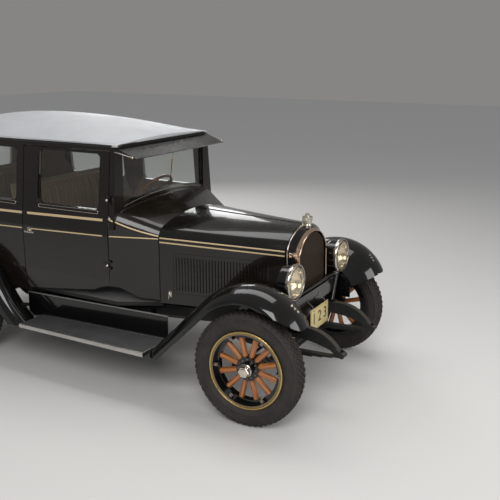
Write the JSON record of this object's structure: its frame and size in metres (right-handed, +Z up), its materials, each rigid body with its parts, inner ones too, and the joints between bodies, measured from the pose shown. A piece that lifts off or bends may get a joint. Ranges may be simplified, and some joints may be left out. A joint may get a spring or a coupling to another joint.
{
  "type": "vintage closed car",
  "caption": "Closed two-door touring sedan of the 1920s with wooden spoked wheels, folding bonnet, running boards and a rear spare wheel.",
  "frame": {"origin": "on the floor, at the middle of the car's length and on its centre plane", "axes": "+X forward, +Y to the car's left, +Z up"},
  "size_m": [4.135, 1.664, 1.9165],
  "materials": {
    "body_paint": "gloss",
    "black_enamel": "gloss",
    "roof_cloth": "matt",
    "chassis_black": "satin",
    "iron": "rough",
    "nickel": "polished",
    "wheel_wood": "varnished",
    "tyre_rubber": "matt",
    "seat_cloth": "matt",
    "glass": "clear",
    "steel": "dull",
    "lamp_glass": "fluted",
    "core_brass": "dull",
    "floor_wood": "dull"
  },
  "bodies": {
    "chassis": {"frame": "chassis_black", "front_axle": "chassis_black", "springs": "chassis_black", "rear_axle": "chassis_black", "engine_block": "iron", "exhaust": "steel", "fuel_tank": "chassis_black", "radiator_shell": "black_enamel", "radiator_core": "core_brass", "cowl": "body_paint", "fixed_glass": "glass", "body_floor": "floor_wood", "side_panels": "body_paint", "back_panel": "body_paint", "roof": "roof_cloth", "sun_visor": "black_enamel", "front_seat": "seat_cloth", "rear_seat": "seat_cloth", "front_fenders": "black_enamel", "rear_fenders": "black_enamel", "running_boards": "black_enamel", "headlamps": "black_enamel", "headlamp_lenses": "lamp_glass", "spare_carrier": "black_enamel", "spare_tyre": "tyre_rubber"},
    "tie_rod": {"tie_rod": "chassis_black"},
    "steering_wheel": {"steering_wheel": "wheel_wood"},
    "hub_carrier_right": {"knuckle_right": "chassis_black"},
    "wheel_front_right": {"wheel_front_right": "wheel_wood", "tyre_front_right": "tyre_rubber"},
    "wheel_rear_right": {"wheel_rear_right": "wheel_wood", "tyre_rear_right": "tyre_rubber"},
    "door_right": {"door_right": "body_paint", "door_glass_right": "glass"},
    "bonnet_top_right": {"hood_top_right": "body_paint"},
    "bonnet_side_right": {"hood_side_right": "body_paint"},
    "hub_carrier_left": {"knuckle_left": "chassis_black"},
    "wheel_front_left": {"wheel_front_left": "wheel_wood", "tyre_front_left": "tyre_rubber"},
    "wheel_rear_left": {"wheel_rear_left": "wheel_wood", "tyre_rear_left": "tyre_rubber"},
    "door_left": {"door_left": "body_paint", "door_glass_left": "glass"},
    "bonnet_top_left": {"hood_top_left": "body_paint"},
    "bonnet_side_left": {"hood_side_left": "body_paint"}
  },
  "joints": [
    {"name": "steer_right", "type": "hinge", "parent": "chassis", "child": "hub_carrier_right", "pos_m": [1.5625, -0.61, 0.386], "axis": [0, 0, 1], "range_deg": [-34, 25.4]},
    {"name": "steer_left", "type": "hinge", "parent": "chassis", "child": "hub_carrier_left", "pos_m": [1.5625, 0.61, 0.386], "axis": [0, 0, 1], "range_deg": [-34.1, 25.5]},
    {"name": "tie_rod_pivot", "type": "hinge", "parent": "hub_carrier_right", "child": "tie_rod", "pos_m": [1.40295, -0.622, 0.326], "axis": [0, 0, 1], "range_deg": [-25.5, 34.1]},
    {"name": "steering_wheel_turn", "type": "hinge", "parent": "chassis", "child": "steering_wheel", "pos_m": [-0.0575, 0.36, 1.21], "axis": [-0.766, 0, 0.6428], "range_deg": [-412, 309]},
    {"name": "wheel_front_right_spin", "type": "hinge", "parent": "hub_carrier_right", "child": "wheel_front_right", "pos_m": [1.57007, -0.71072, 0.386], "axis": [-0.075, 0.9972, 0], "continuous": true},
    {"name": "wheel_rear_right_spin", "type": "hinge", "parent": "chassis", "child": "wheel_rear_right", "pos_m": [-1.1375, -0.711, 0.386], "axis": [0, 1, 0], "continuous": true},
    {"name": "wheel_front_left_spin", "type": "hinge", "parent": "hub_carrier_left", "child": "wheel_front_left", "pos_m": [1.55493, 0.71072, 0.386], "axis": [-0.075, 0.9972, 0], "continuous": true},
    {"name": "wheel_rear_left_spin", "type": "hinge", "parent": "chassis", "child": "wheel_rear_left", "pos_m": [-1.1375, 0.711, 0.386], "axis": [0, 1, 0], "continuous": true},
    {"name": "door_right_open", "type": "hinge", "parent": "chassis", "child": "door_right", "pos_m": [0.3375, -0.64, 0.886], "axis": [0, 0.0436, 0.999], "range_deg": [0, 62]},
    {"name": "door_left_open", "type": "hinge", "parent": "chassis", "child": "door_left", "pos_m": [0.3375, 0.64, 0.886], "axis": [0, 0.0436, -0.999], "range_deg": [0, 62]},
    {"name": "bonnet_right_lift", "type": "hinge", "parent": "chassis", "child": "bonnet_top_right", "pos_m": [1.6075, 0, 1.205], "axis": [-0.9996, 0, 0.0286], "range_deg": [0, 60]},
    {"name": "bonnet_side_right_fold", "type": "hinge", "parent": "bonnet_top_right", "child": "bonnet_side_right", "pos_m": [1.6075, -0.2705, 1.043], "axis": [0.9803, 0.194, -0.0363], "range_deg": [0, 42]},
    {"name": "bonnet_left_lift", "type": "hinge", "parent": "chassis", "child": "bonnet_top_left", "pos_m": [1.6075, 0, 1.205], "axis": [0.9996, 0, -0.0286], "range_deg": [0, 60]},
    {"name": "bonnet_side_left_fold", "type": "hinge", "parent": "bonnet_top_left", "child": "bonnet_side_left", "pos_m": [1.6075, 0.2705, 1.043], "axis": [-0.9803, 0.194, 0.0363], "range_deg": [0, 42]}
  ],
  "couplings": [
    {"joint": "steer_left", "follows": "steer_right", "ratio": 1},
    {"joint": "tie_rod_pivot", "follows": "steer_right", "ratio": -1},
    {"joint": "steering_wheel_turn", "follows": "steer_right", "ratio": 12},
    {"joint": "bonnet_side_right_fold", "follows": "bonnet_right_lift", "ratio": 0.7},
    {"joint": "bonnet_side_left_fold", "follows": "bonnet_left_lift", "ratio": 0.7}
  ]
}
